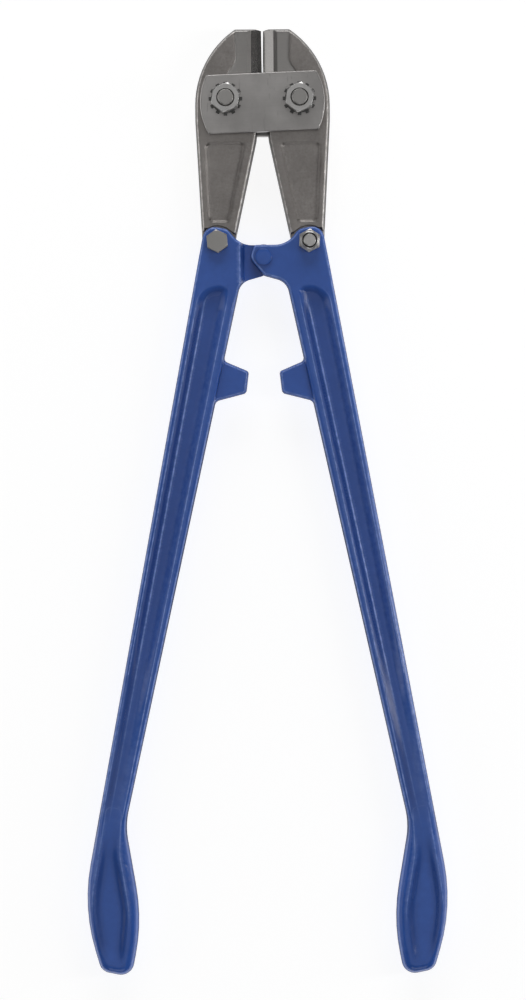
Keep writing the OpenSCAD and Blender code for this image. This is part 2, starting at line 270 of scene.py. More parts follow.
def solid_between(name, xy, tris, front, back, place):
    """A closed solid between the heights front and back over the same triangles.  place
    moves its points to tool coordinates."""
    n = len(xy)
    top = np.column_stack([xy, front])
    bottom = np.column_stack([xy, back])
    sides = dict.fromkeys((t[i], t[(i + 1) % 3]) for t in tris for i in range(3))
    rim = [(a, b) for a, b in sides if (b, a) not in sides]
    faces = [tuple(t) for t in tris]
    faces += [(t[2] + n, t[1] + n, t[0] + n) for t in tris]
    faces += [(b, a, a + n, b + n) for a, b in rim]
    return make_object(name, to_frame(place(np.concatenate([top, bottom]))), faces)


def paint(obj, name, share):
    """Stores a share from 0 to 1 at each point, for the materials."""
    layer = obj.data.attributes.new(name, "FLOAT", "POINT")
    layer.data.foreach_set("value", np.asarray(share, dtype=np.float32))


def points_of(obj):
    """The object's points in tool coordinates, as an n x 3 array."""
    flat = np.empty(len(obj.data.vertices) * 3, dtype=np.float32)
    obj.data.vertices.foreach_get("co", flat)
    p = flat.reshape(-1, 3) / MM
    return p - np.array([0, RIVET_Y, MID_Z])


def near(x, centre, width):
    """1 where x is at centre, fading to 0 over about twice the width."""
    return np.exp(-((x - centre) / width) ** 2)


def cut(obj, cutters, sharp):
    """Subtracts the cutter objects from obj for good and removes them.  Then the edges bent
    by more than sharp degrees are sharp, and all else is smooth."""
    for cutter in cutters:
        modifier = obj.modifiers.new("cut", "BOOLEAN")
        modifier.operation = "DIFFERENCE"
        modifier.object = cutter
        modifier.solver = "EXACT"
    bpy.context.view_layer.update()
    graph = bpy.context.evaluated_depsgraph_get()
    mesh = bpy.data.meshes.new_from_object(obj.evaluated_get(graph))
    obj.modifiers.clear()
    old = obj.data
    obj.data = mesh
    bpy.data.meshes.remove(old)
    for cutter in cutters:
        bpy.data.objects.remove(cutter)
    mesh.shade_smooth()
    mesh.set_sharp_from_angle(angle=math.radians(sharp))


def prism(loop, z0, z1):
    """A closed straight prism in tool coordinates, used as a cutter."""
    loop = counter_clockwise(np.asarray(loop, float))
    n = len(loop)
    points = np.concatenate([np.column_stack([loop, np.full(n, z0)]),
                             np.column_stack([loop, np.full(n, z1)])])
    faces = [tuple(range(n))[::-1], tuple(range(n, 2 * n))]
    faces += [(i, (i + 1) % n, (i + 1) % n + n, i + n) for i in range(n)]
    return make_object("cutter", to_frame(points), faces)


def drill(loop):
    """A cutter of the loop's shape that goes right through."""
    return prism(loop, -THROUGH, THROUGH)


def circle(centre, r, count=64):
    a = np.arange(count) / count * 2 * math.pi
    return np.stack([centre[0] + r * np.cos(a), centre[1] + r * np.sin(a)], 1)


def turned(profile, count=96, hollow=False):
    """Points and faces of a solid of revolution about z.  profile(angle) gives its side as
    [(r, z), ...].  A hollow one is a ring, and its profile runs all the way round."""
    rows = []
    for k in range(count):
        a = 2 * math.pi * k / count
        rows.append([(r * math.cos(a), r * math.sin(a), z) for r, z in profile(a)])
    m = len(rows[0])
    points = [p for row in rows for p in row]
    faces = []
    last = m if hollow else m - 1
    for k in range(count):
        j = (k + 1) % count
        faces += [(k * m + i, j * m + i, j * m + (i + 1) % m, k * m + (i + 1) % m)
                  for i in range(last)]
    if not hollow:
        faces.append(tuple(k * m for k in range(count))[::-1])
        faces.append(tuple(k * m + m - 1 for k in range(count)))
    return np.array(points), faces


# ---- Materials -----------------------------------------------------------------------

class Nodes:
    """Short names for building a node material."""

    def __init__(self, name):
        self.material = bpy.data.materials.new(name)
        self.material.use_nodes = True
        self.tree = self.material.node_tree
        self.tree.nodes.clear()
        out = self.add("ShaderNodeOutputMaterial")
        self.shader = self.add("ShaderNodeBsdfPrincipled")
        self.join(self.shader.outputs[0], out.inputs["Surface"])
        self.place = self.add("ShaderNodeTexCoord").outputs["Object"]

    def add(self, kind, **values):
        node = self.tree.nodes.new(kind)
        for key, value in values.items():
            setattr(node, key, value)
        return node

    def join(self, a, b):
        self.tree.links.new(a, b)

    def stretched(self, scale, rotation=(0, 0, 0)):
        node = self.add("ShaderNodeMapping")
        node.inputs["Scale"].default_value = scale
        node.inputs["Rotation"].default_value = rotation
        self.join(self.place, node.inputs["Vector"])
        return node.outputs[0]

    def noise(self, scale, detail=4, rough=0.5, at=None):
        node = self.add("ShaderNodeTexNoise")
        node.inputs["Scale"].default_value = scale
        node.inputs["Detail"].default_value = detail
        node.inputs["Roughness"].default_value = rough
        self.join(at or self.place, node.inputs["Vector"])
        return node.outputs["Fac"]

    def ramp(self, value, *stops):
        """stops are (position, grey or colour)."""
        node = self.add("ShaderNodeValToRGB")
        line = node.color_ramp.elements
        while len(line) < len(stops):
            line.new(0.5)
        for element, (position, colour) in zip(line, stops):
            element.position = position
            if isinstance(colour, (int, float)):
                colour = (colour,) * 3
            element.color = (*colour, 1)
        self.join(value, node.inputs[0])
        return node.outputs[0]

    def mix(self, factor, a, b):
        """a where factor is 0, b where it is 1.  Each is a number, a colour or a socket."""
        node = self.add("ShaderNodeMix", data_type="RGBA")
        for socket, value in ((node.inputs[0], factor), (node.inputs[6], a),
                              (node.inputs[7], b)):
            if isinstance(value, (int, float)):
                socket.default_value = value
            elif isinstance(value, tuple):
                socket.default_value = (*value, 1)
            else:
                self.join(value, socket)
        return node.outputs[2]

    def maths(self, how, a, b=None):
        node = self.add("ShaderNodeMath", operation=how)
        for socket, value in zip(node.inputs, (a, b)):
            if isinstance(value, (int, float)):
                socket.default_value = value
            elif value is not None:
                self.join(value, socket)
        return node.outputs[0]

    def bump(self, height, strength, distance, under=None):
        node = self.add("ShaderNodeBump")
        node.inputs["Strength"].default_value = strength
        node.inputs["Distance"].default_value = distance
        self.join(height, node.inputs["Height"])
        if under is not None:
            self.join(under, node.inputs["Normal"])
        return node.outputs[0]

    def painted(self, name):
        """A share from 0 to 1 that the mesh carries at its points."""
        return self.add("ShaderNodeAttribute", attribute_name=name).outputs["Fac"]

    def wear_and_highlight(self, low, high):
        """The marked edges and lines, partly wear and partly painted highlight, broken up by noise
        so that they come and go.
        """
        patches = self.ramp(self.noise(260, 4, 0.6), (0.38, low), (0.62, high))
        return self.maths("MULTIPLY", self.painted("wear_and_highlight"), patches)

    def steepness(self, wall=0.30, flat=0.62):
        """1 on the side walls, 0 on the faces that lie flat."""
        normal = self.add("ShaderNodeSeparateXYZ")
        self.join(self.add("ShaderNodeNewGeometry").outputs["Normal"], normal.inputs[0])
        return self.ramp(self.maths("ABSOLUTE", normal.outputs["Z"]), (wall, 1.0), (flat, 0.0))

    def finish(self, colour, rough, normal=None, specular=0.5, **constants):
        for key, value in (("Base Color", colour), ("Roughness", rough),
                           ("Specular IOR Level", specular)):
            socket = self.shader.inputs[key]
            if isinstance(value, tuple):
                socket.default_value = (*value, 1)
            elif isinstance(value, (int, float)):
                socket.default_value = value
            else:
                self.join(value, socket)
        if normal is not None:
            self.join(normal, self.shader.inputs["Normal"])
        for key, value in constants.items():
            self.shader.inputs[key.replace("_", " ")].default_value = value
        return self.material


def enamel():
    """Thick blue gloss enamel over a forged skin.  Painted shade darkens it in the hollows and on
    the side walls; along the marked edges it is lighter, partly worn paint and partly painted
    highlight; small chips on the sharpest ones."""
    n = Nodes("blue_enamel")
    broad = n.noise(22, 3, 0.55)
    fine = n.noise(240, 4, 0.6)
    colour = n.ramp(broad, (0.30, (0.038, 0.120, 0.480)), (0.70, (0.049, 0.145, 0.560)))
    colour = n.mix(n.ramp(fine, (0.35, 0.0), (0.75, 0.30)), colour, (0.036, 0.102, 0.400))
    # Painted shade in the pocket and the trough
    hollow = n.painted("hollow")
    colour = n.mix(n.maths("MULTIPLY", hollow, 0.62), colour, (0.028, 0.060, 0.230))
    # Lighter lines along the marked edges: partly worn paint, partly painted highlight
    lines_wear_and_highlight = n.wear_and_highlight(0.45, 1.0)
    colour = n.mix(lines_wear_and_highlight, colour, (0.340, 0.490, 1.000))
    edge = n.add("ShaderNodeNewGeometry").outputs["Pointiness"]
    edge = n.ramp(edge, (0.535, 0.0), (0.58, 1.0))
    chips = n.ramp(n.noise(420, 5, 0.65), (0.62, 0.0), (0.66, 1.0))
    worn = n.maths("MULTIPLY", edge, chips)
    colour = n.mix(worn, colour, (0.045, 0.045, 0.050))
    # Painted shade on the side walls
    steep = n.steepness(0.15, 0.40)
    colour = n.mix(n.maths("MULTIPLY", steep, 0.8), colour, (0.014, 0.022, 0.055))
    rough = n.ramp(broad, (0.3, 0.15), (0.7, 0.22))
    rough = n.mix(n.maths("MULTIPLY", hollow, 0.5), rough, (0.36, 0.36, 0.36))
    rough = n.mix(n.maths("MAXIMUM", worn, steep), rough, (0.6, 0.6, 0.6))
    skin = n.bump(n.noise(150, 3, 0.5), 0.25, 0.0004)
    peel = n.bump(n.noise(900, 2, 0.5), 0.10, 0.00012, skin)
    chipped = n.bump(n.maths("SUBTRACT", 1.0, worn), 0.6, 0.0001, peel)
    return n.finish(colour, rough, chipped, n.ramp(steep, (0.0, 0.5), (1.0, 0.06)))


def forged_steel():
    """Dark satin steel of the jaws: mottled scale and a lightly pitted skin.  Painted shade makes
    the side walls nearly black but not the shoulders, and the marked edges are lighter, partly
    worn bright and partly painted highlight."""
    n = Nodes("jaw_steel")
    broad = n.noise(16, 3, 0.6)
    blotch = n.noise(55, 5, 0.65)
    grain = n.noise(700, 3, 0.6)
    colour = n.ramp(blotch, (0.3, (0.262, 0.244, 0.232)), (0.7, (0.400, 0.374, 0.358)))
    colour = n.mix(n.ramp(grain, (0.35, 0.0), (0.7, 0.5)), colour, (0.230, 0.213, 0.203))
    colour = n.mix(n.ramp(broad, (0.45, 0.0), (0.65, 0.45)), colour, (0.480, 0.450, 0.430))
    # Painted shade: the side walls nearly black, lifted at the shoulders
    steep = n.maths("SUBTRACT", n.steepness(), n.painted("shoulder"))
    steep = n.maths("MAXIMUM", n.maths("MULTIPLY", steep, 0.85), 0.0)
    colour = n.mix(steep, colour, (0.030, 0.028, 0.027))
    # Lighter along the marked edges: partly worn bright, partly painted highlight
    colour = n.mix(n.wear_and_highlight(0.3, 1.0), colour, (0.860, 0.830, 0.800))
    rough = n.ramp(blotch, (0.3, 0.34), (0.7, 0.48))
    skin = n.bump(n.noise(260, 4, 0.6), 0.25, 0.0003)
    pits = n.bump(grain, 0.15, 0.0001, skin)
    return n.finish(colour, rough, pits, Metallic=0.85)


def ground_steel(name, angle, colour_low, colour_high, rough_low, rough_high, mottle=0.3,
                 score=0.1):
    """Ground steel with straight grinding lines across it and cloudy handling marks.  mottle
    is how dark the clouds are, score how deep the lines."""
    n = Nodes(name)
    lines = n.noise(1.0, 3, 0.6, n.stretched((60, 4200, 900), (0, 0, angle)))
    blotch = n.noise(60, 4, 0.5)
    colour = n.mix(lines, colour_low, colour_high)
    colour = n.mix(n.ramp(blotch, (0.4, 0.0), (0.7, 0.3)), colour, colour_low)
    dark = tuple(0.72 * c for c in colour_low)
    cloud = n.ramp(n.noise(20, 5, 0.62), (0.42, 0.0), (0.62, mottle))
    colour = n.mix(cloud, colour, dark)
    scuffs = n.noise(1.0, 4, 0.7, n.stretched((380, 50, 300), (0, 0, 0.5)))
    colour = n.mix(n.ramp(scuffs, (0.60, 0.0), (0.68, mottle)), colour, dark)
    rough = n.ramp(lines, (0.3, rough_low), (0.7, rough_high))
    return n.finish(colour, rough, n.bump(lines, score, 0.00005), Metallic=0.9)


def zinc():
    """Bright zinc plating, a little blotchy, with fine handling marks."""
    n = Nodes("zinc")
    blotch = n.noise(130, 5, 0.6)
    marks = n.noise(1.0, 3, 0.6, n.stretched((300, 2600, 2600), (0, 0, 0.7)))
    colour = n.ramp(blotch, (0.3, (0.48, 0.473, 0.462)), (0.7, (0.68, 0.67, 0.66)))
    rough = n.ramp(blotch, (0.3, 0.26), (0.7, 0.40))
    return n.finish(colour, rough, n.bump(marks, 0.08, 0.00005), Metallic=0.9)


def nylon():
    n = Nodes("nylon")
    grain = n.noise(1500, 3, 0.5)
    colour = n.ramp(grain, (0.3, (0.012, 0.012, 0.013)), (0.7, (0.022, 0.022, 0.024)))
    return n.finish(colour, 0.5, n.bump(grain, 0.2, 0.00005))


ENAMEL = enamel()
JAW_STEEL = forged_steel()
GROUND = ground_steel("ground_steel", 0.0, (0.42, 0.405, 0.39), (0.54, 0.52, 0.505), 0.12, 0.18,
                      mottle=0.15, score=0.03)
LAND_STEEL = ground_steel("land_steel", 0.0, (0.33, 0.318, 0.308), (0.45, 0.434, 0.42), 0.30, 0.40,
                          score=0.06)
PLATE = ground_steel("plate_steel", 0.05, (0.42, 0.406, 0.396), (0.58, 0.562, 0.55), 0.28, 0.40,
                     mottle=0.55)
# Painted shade: the toothed washers' steel, darkened as if it lay in the nuts' shadow
SHADED_WASHER_STEEL = ground_steel("washer_steel_painted_shade", 0.9, (0.10, 0.10, 0.10), (0.20, 0.20, 0.19), 0.35, 0.50)
BOLT_END = ground_steel("bolt_steel", 0.4, (0.38, 0.37, 0.355), (0.54, 0.53, 0.515), 0.34, 0.46)
ZINC = zinc()
NYLON = nylon()


def dress(obj, material, body, slot, *nodes):
    """Gives a new piece its material and its body, and hides the CAD nodes it stands for."""
    obj.data.materials.clear()
    obj.data.materials.append(material)
    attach(obj, body)
    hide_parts(*nodes)
    return obj


# ---- Handles -------------------------------------------------------------------------
# Both handles are drawn as the right one in handle coordinates: the rivet is the origin and
# the beam runs straight down.  Corners are (x, y, radius).

TAIL = turn(TAIL_PIVOT, -HANDLE_LEAN)
GRIP_TOP = -374.0
REACH = -468.6
EAR_R = 10.1
EAR_TOP = 9.2
EYE_PLAY = 2.4          # room for the rivet in the left handle's eye
FORK_R = 13.2           # the slot between the ears, round at its closed end
FORK_HALF = 3.65
LAP_X = 12.1            # foot of the lap's sloping wall, upright in tool coordinates
LAP_DRAFT = 3.1
LAP_LOW = -40           # below this height nothing is taken off for the lap
LAP_GAP = 0.12          # each lug stays this far from the parting plane

GRIP_CORNERS = [
    (17.8, GRIP_TOP, 47), (-4.4, -432, 120), (-4.4, REACH, 8.5), (15, REACH, 8),
    (34.7, -431.4, 118)]
EAR_CORNERS = [
    (TAIL[0] + EAR_R, TAIL[1] + EAR_TOP, 8.2), (25.5, TAIL[1] + EAR_TOP, 7),
    (16.5, 5.0, 16), (-4.5, 9.2, 2.5), (-8.9, 1.3, 6), (-2.1, -11.4, 3), (11.4, -18.3, 10)]
STOP_CORNERS = [(12.3, -69.8, 3), (-4.7, -73.4, 2.2), (-5.8, -87.4, 3), (12.5, -96.2, 4)]

POCKET_TOP = -22.6
POCKET_RIM = rounded([(36.6, POCKET_TOP, 14), (17.4, -22.2, 4.5), (20.6, -384, 4),
                      (33.2, -384, 4)])
TROUGH_RIM = rounded([(31.6, -364, 3), (22.2, -364, 3), (18.2, -392, 40), (4.6, -428, 60),
                      (0.6, -468, 5), (15.4, -468, 6), (29.6, -428, 80)])
POCKET_WALL = 5.4
POCKET_MIDDLE = 27.0
POCKET_RAMP = 26.0      # length over which the pocket's upper end gets to its full depth
WEB_HALF = 2.5
TROUGH_WALL = 5.4
TROUGH_DEPTH = 1.8
STOP_HALF = 3.5
PARTING_HALF = 0.5      # half height of the upright band round the forging
CROWN_W = 2.0
CROWN_H = 0.75

# Stretches along the handle over which its shape changes: from y, to y
TO_EARS = (-30, -20)
TO_GRIP = (-352, -400)
POCKET_FLATTENS = (-215, -350)
POCKET_ENDS = (-345, -384)
TROUGH_STARTS = (-370, -412)
TROUGH_ENDS = (-446, -469)
# Stretches over which the painted highlights, the wear and the painted shade on it come or go
NECK_PAINT = (-352, -384)
POCKET_TOP_PAINT = (-26, -42)
FOOT_PAINT = (-215, -330)
TROUGH_PAINT = (-418, -440)

# A strip along the beam's inner edge, where the stop lug grows out of it
STOP_FOOT = np.array([(12.2, -65.0), (12.9, -102.0), (14.3, -102.0), (13.6, -65.0)])


def between(y, start, end):
    """0 on start's side, 1 on end's side, eased in between."""
    return eased((start - y) / (start - end), 0.5)


def trough_share(y):
    """How far the grip's trough is let in: it runs out softly at both ends."""
    return between(y, *TROUGH_STARTS) * (1 - between(y, *TROUGH_ENDS))


def handle_height(xy, outline, bare):
    """Height of a handle's face above its parting plane.  bare is the outline without the
    stop lug, which is thinner than the rest."""
    y = xy[:, 1]
    d = inside_distance(xy, outline)
    d_bare = inside_distance(xy, bare)
    grip = between(y, *TO_GRIP)
    ears = between(y, *TO_EARS)
    draft = 0.5 + 0.5 * grip - 0.25 * ears
    radius = 0.7 + 3.6 * grip - 0.1 * ears
    crown = CROWN_H * (1 - grip) * (1 - 0.5 * ears)
    body = edge_profile(np.maximum(d_bare, 0), HANDLE_HALF, PARTING_HALF, draft, radius,
                        CROWN_W, crown)
    body = np.where(d_bare > 0, body, PARTING_HALF)
    stop = edge_profile(np.maximum(d, 0), STOP_HALF, PARTING_HALF, 0.5, 0.6, 0.8, 0.25)
    z = smooth_max(body, np.minimum(stop, STOP_HALF), 0.9)
    z = np.minimum(z, HANDLE_HALF)
    rim = inside_distance(xy, POCKET_RIM)
    depth = (HANDLE_HALF - WEB_HALF) * (1 - 0.86 * between(y, *POCKET_FLATTENS))
    depth = depth * (1 - between(y, *POCKET_ENDS))
    ramp = 0.3 + 0.7 * eased((POCKET_TOP - y) / POCKET_RAMP, 0.4)
    z = z - depth * ramp * eased(rim / POCKET_WALL, 0.26)
    dish = inside_distance(xy, TROUGH_RIM)
    return z - TROUGH_DEPTH * eased(dish / TROUGH_WALL, 0.35) * trough_share(y)


def make_handle(name, side, mesh, outline, bare):
    """One forging.  The right handle's lug is the front half of the lap."""
    xy, tris = mesh
    face = handle_height(xy, outline, bare)
    upright_x = turn(xy, HANDLE_LEAN)[:, 0]
    lap = eased((upright_x - LAP_X) / LAP_DRAFT, 0.2)
    lap = np.where(xy[:, 1] < LAP_LOW, 1.0, lap)
    lapped = -LAP_GAP + (face + LAP_GAP) * lap
    front, back = (face, -lapped) if side > 0 else (lapped, -face)

    def leaned(p):
        q = turn(p[:, :2], HANDLE_LEAN)
        return np.column_stack([q[:, 0] * side, q[:, 1], p[:, 2:]])

    t = tris if side > 0 else tris[:, ::-1]
    obj = solid_between(name, xy, t, front, back, leaned)
    fork = np.array([(FORK_R * math.cos(a), FORK_R * math.sin(a))
                     for a in np.radians(np.arange(-180, 1, 6))])
    fork = np.concatenate([fork, [(FORK_R, 30), (-FORK_R, 30)]]) + TAIL
    play = PIN_GAP if side > 0 else EYE_PLAY
    cut(obj, [prism(leaned(fork), -FORK_HALF, FORK_HALF),
              drill(leaned(circle(TAIL, TAIL_BOLT_R + PIN_GAP))),
              drill(leaned(circle((0, 0), RIVET_R + play)))], 74)
    return obj


def paint_handle(obj, side, outline):
    """Paints the enamel's two shares.  The edge share, partly wear and partly painted highlight:
    beside the outline, on the lap, and beside the grip's trough at its upper end.  Below the
    pocket's upper end it is also painted highlight along its rim, along the foot of one wall, and
    faintly on the wall across from that one, as light would fall on them.  The hollow share,
    painted shade: in the pocket, most at its upper end and on that one wall, and on the walls of
    the trough."""
    p = points_of(obj) * np.array([side, 1, 1])
    xy = turn(p[:, :2], -HANDLE_LEAN)
    high = np.abs(p[:, 2]) > STOP_HALF - 0.3
    share = near(inside_distance(xy, outline), 1.1, 0.42) * high
    neck = between(xy[:, 1], *NECK_PAINT)
    share = share * (1 - 0.6 * neck)
    rim = inside_distance(xy, POCKET_RIM)
    pocket_end = 1 - between(xy[:, 1], *POCKET_TOP_PAINT)
    share = np.maximum(share, near(rim, 0.0, 0.3) * (1 - neck) * (1 - pocket_end) * high)
    lap = near(p[:, 0], LAP_X + LAP_DRAFT, 0.5) * (np.abs(p[:, 2]) > 6) * (xy[:, 1] > -22)
    share = np.maximum(share, lap * (p[:, 2] * side < 0))
    one_side = ((xy[:, 0] - POCKET_MIDDLE) * side < 0) * (1 - neck)
    foot = np.minimum(2 * near(rim, POCKET_WALL - 0.6, 0.4), 1) * one_side * (1 - pocket_end)
    share = np.maximum(share, (1.0 - 0.8 * between(xy[:, 1], *FOOT_PAINT)) * foot)
    wall = near(rim, 0.5 * POCKET_WALL, 0.5 * POCKET_WALL) * (1 - pocket_end)
    share = np.maximum(share, 0.16 * wall * (1 - neck) * (1 - one_side))
    upper_grip = neck * (1 - between(xy[:, 1], *TROUGH_PAINT))
    dish = inside_distance(xy, TROUGH_RIM)
    share = np.maximum(share, 0.6 * near(dish, -0.2, 0.5) * upper_grip)
    # Partly wear, partly painted highlight
    paint(obj, "wear_and_highlight", share)
    pocket = eased(rim / POCKET_WALL, 0.4) * (1 - neck) * (0.4 + 0.6 * pocket_end)
    pocket = np.maximum(pocket, wall * one_side)
    trough = near(dish, 0.55 * TROUGH_WALL, 0.5 * TROUGH_WALL) * trough_share(xy[:, 1])
    # Painted shade in the pocket and the trough
    paint(obj, "hollow", np.maximum(pocket, 0.9 * trough))


def make_handles():
    outline = counter_clockwise(evenly(rounded(EAR_CORNERS + STOP_CORNERS + GRIP_CORNERS), 1.1))
    bare = counter_clockwise(rounded(EAR_CORNERS + GRIP_CORNERS))
    lap_foot, lap_brow = LAP_X, LAP_X + LAP_DRAFT
    lap_wall = turn([(lap_foot, LAP_LOW), (lap_brow, LAP_LOW), (lap_brow, 20), (lap_foot, 20)],
                    -HANDLE_LEAN)
    pocket_foot = tuple(POCKET_WALL - back for back in (1.2, 0.9, 0.3, 0.0))
    features = [(evenly(POCKET_RIM, 1.2), (-0.4, 0.0, 0.4, 0.9) + pocket_foot),
                (evenly(TROUGH_RIM, 1.4), (-0.7, -0.2, 0.4, TROUGH_WALL)),
                (evenly(lap_wall, 0.9), (-0.5, 0.0, 0.3, 0.6)),
                (evenly(STOP_FOOT, 0.9), (-0.5, 0.0, 0.5))]
    mesh = flat_mesh(outline, (0.3, 0.6, 0.85, 1.2, 1.7, 2.3), features, 1.25)
    for name, side in (("left_handle", -1), ("right_handle", 1)):
        obj = make_handle(name + "_forging", side, mesh, outline, bare)
        paint_handle(obj, side, outline)
        dress(obj, ENAMEL, name, "blue_enamel", name)


# ---- Jaws ----------------------------------------------------------------------------
# Both jaws are drawn as the right one in tool coordinates.  From the cutting edge outwards
# there is a bevel, a narrow facet and a flat land, all ground.

JAW_TIP = 146.2
JAW_SIDE = 43.1
TONGUE_R = 9.0
TONGUE_HALF = 3.5
PANEL = rounded([(37.4, 73.6, 4), (11.0, 73.6, 3), (21.9, 22.4, 3), (34.9, 22.4, 4)])
PANEL_WALL = 1.3
PANEL_DEPTH = 1.2
EDGE_AT_REST = 0.1      # from the middle plane to the cutting edge at the jaw bolt's height
EDGE_LEAN = math.radians(0.7)
EDGE_HALF = 0.35        # half thickness of the cutting edge, at x = EDGE_X
EDGE_X = 0.5
BEVEL_W = 7.2
BEVEL_TOP = 4.8
FACET_W = 2.5
LAND_Z = 5.6
LAND_WALL = 0.8
LAND_LOW = JAW_PIVOT[1] + 11.2
LAND = rounded([(-6, LAND_LOW, 0), (27, LAND_LOW, 0), (17.4, LAND_LOW + 13.5, 8), (18.4, 151, 0),
                (-6, 151, 0)])
SHOULDER_R = 10.5
SHOULDER = np.array([(-16.5, 1.3), (-5.5, 9.4), (6.5, 8.8), (15.5, 3.2), (15.5, -20),
                     (-16.5, -20)]) + TAIL_PIVOT


def edge_x(y):
    """Where the cutting edge is at height y."""
    return EDGE_AT_REST + (y - JAW_PIVOT[1]) * math.sin(EDGE_LEAN)


def jaw_corners():
    return [
        (edge_x(JAW_TIP - 1.0), JAW_TIP - 1.0, 0.3), (4.4, JAW_TIP, 2),
        (17.4, JAW_TIP, 1.5), (JAW_SIDE, JAW_TIP - 17.9, 58.8),
        (JAW_SIDE, JAW_PIVOT[1] - 13, 60),
        (TAIL_PIVOT[0] + TONGUE_R, TAIL_PIVOT[1] - TONGUE_R, TONGUE_R), (19.6, 2.2, 8),
        (4.0, 74.3, 4), (edge_x(JAW_PIVOT[1] + 5), JAW_PIVOT[1] + 5, 0)]


def inside_tongue(xy):
    """Distance from the shoulder, positive where the tail is thinned to enter the fork."""
    from_tail = np.hypot(xy[:, 0] - TAIL_PIVOT[0], xy[:, 1] - TAIL_PIVOT[1])
    return np.maximum(SHOULDER_R - from_tail, inside_distance(xy, SHOULDER))


def jaw_height(xy, outline):
    """Height of a jaw's face above its parting plane."""
    x, y = xy[:, 0], xy[:, 1]
    d = inside_distance(xy, outline)
    z = edge_profile(np.maximum(d, 0), JAW_HALF, 2.0, 1.1, 0.55, 0.8, 0.25)
    z = np.where((y > JAW_PIVOT[1] + 6) & (x < 2.5), JAW_HALF, z)
    land = inside_distance(xy, LAND)
    z = z - (JAW_HALF - LAND_Z) * eased(land / LAND_WALL)
    bevel = EDGE_HALF + (x - EDGE_X) * (BEVEL_TOP - EDGE_HALF) / (BEVEL_W - EDGE_X)
    facet = BEVEL_TOP + (x - BEVEL_W) * (LAND_Z - BEVEL_TOP) / FACET_W
    ground = np.maximum(np.where(x < BEVEL_W, bevel, facet), 0.3)
    z = np.where(y > JAW_PIVOT[1] + 9, np.minimum(z, ground), z)
    panel = inside_distance(xy, PANEL)
    z = z - PANEL_DEPTH * eased(panel / PANEL_WALL, 0.3)
    return z + (np.minimum(z, TONGUE_HALF) - z) * eased(inside_tongue(xy) / 0.3, 0.3)


def sharpen_bevel(mesh):
    """Keeps the lines between bevel, facet and land sharp, however small their bend."""
    at = [(abs(v.co.x) / MM, v.co.y / MM - RIVET_Y) for v in mesh.vertices]
    sharp = mesh.attributes["sharp_edge"].data
    for edge in mesh.edges:
        (x0, y0), (x1, y1) = at[edge.vertices[0]], at[edge.vertices[1]]
        for line in (BEVEL_W, BEVEL_W + FACET_W):
            if max(abs(x0 - line), abs(x1 - line)) < 0.02 and min(y0, y1) > LAND_LOW:
                sharp[edge.index].value = True


def dress_ground_faces(mesh):
    """Gives the bevel one ground steel, and the facet and the land another."""
    mesh.materials.append(GROUND)
    mesh.materials.append(LAND_STEEL)
    centres = [(abs(f.center.x) / MM, f.center.y / MM - RIVET_Y) for f in mesh.polygons]
    for face, (x, _), d in zip(mesh.polygons, centres, inside_distance(centres, LAND)):
        if abs(face.normal.z) > 0.5 and d > 0.4:
            face.material_index = 1 if x < BEVEL_W else 2


def make_jaw(side, mesh, outline):
    """One forging, its two faces alike."""
    xy, tris = mesh
    z = jaw_height(xy, outline)
    name = "right_jaw" if side > 0 else "left_jaw"
    t = tris if side > 0 else tris[:, ::-1]
    obj = solid_between(name + "_forging", xy, t, z, -z, lambda p: p * [side, 1, 1])
    cut(obj, [drill(circle(JAW_PIVOT * [side, 1], JAW_BOLT_R + PIN_GAP)),
              drill(circle(TAIL_PIVOT * [side, 1], TAIL_BOLT_R + PIN_GAP))], 40)
    sharpen_bevel(obj.data)
    dress(obj, JAW_STEEL, name, "jaw_steel", name)
    dress_ground_faces(obj.data)
    p = np.abs(points_of(obj))
    d = inside_distance(p[:, :2], outline)
    # Partly wear, partly painted highlight along the face's edges
    paint(obj, "wear_and_highlight", near(d, 1.5, 0.4) * (p[:, 2] > 4.5))
    # Where the painted shade on the side walls is lifted, at the shoulders
    paint(obj, "shoulder", 0.9 * (np.abs(inside_tongue(p[:, :2])) < 1.5))


def make_jaws():
    outline = counter_clockwise(evenly(rounded(jaw_corners()), 1.1))
    low = LAND_LOW - 3
    facet = np.array([(BEVEL_W, low), (BEVEL_W + FACET_W, low), (BEVEL_W + FACET_W, JAW_TIP),
                      (BEVEL_W, JAW_TIP)])
    features = [(evenly(PANEL, 1.0), (0.0, 0.4, 0.9, PANEL_WALL)),
                (evenly(LAND, 1.0), (0.0, 0.4, LAND_WALL)),
                (evenly(SHOULDER, 0.9), (0.0, 0.3)),
                (circle(TAIL_PIVOT, SHOULDER_R, 80), (0.0, 0.3)),
                (evenly(facet, 0.7), (0.0,))]
    mesh = flat_mesh(outline, (0.4, 0.9, 1.15, 1.5, 2.0, 2.6), features, 1.3)
    for side in (-1, 1):
        make_jaw(side, mesh, outline)


# ---- Link plates ---------------------------------------------------------------------

PLATE_TURN = math.radians(2.2)  # the front plate sits a little askew
PLATE_EDGE = 0.9        # height of the plates' rounded edges


def plate_outline():
    """Straight above and below, with ends that are arcs about the middle."""
    low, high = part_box("rear_link_plate")
    half_h = (high.y - low.y) / 2 / MM
    r = (high.x - low.x) / 2 / MM
    end = math.asin(half_h / r)
    right = [(r * math.cos(a), r * math.sin(a)) for a in np.linspace(-end, end, 24)]
    return np.array(right + [(-x, -y) for x, y in right])


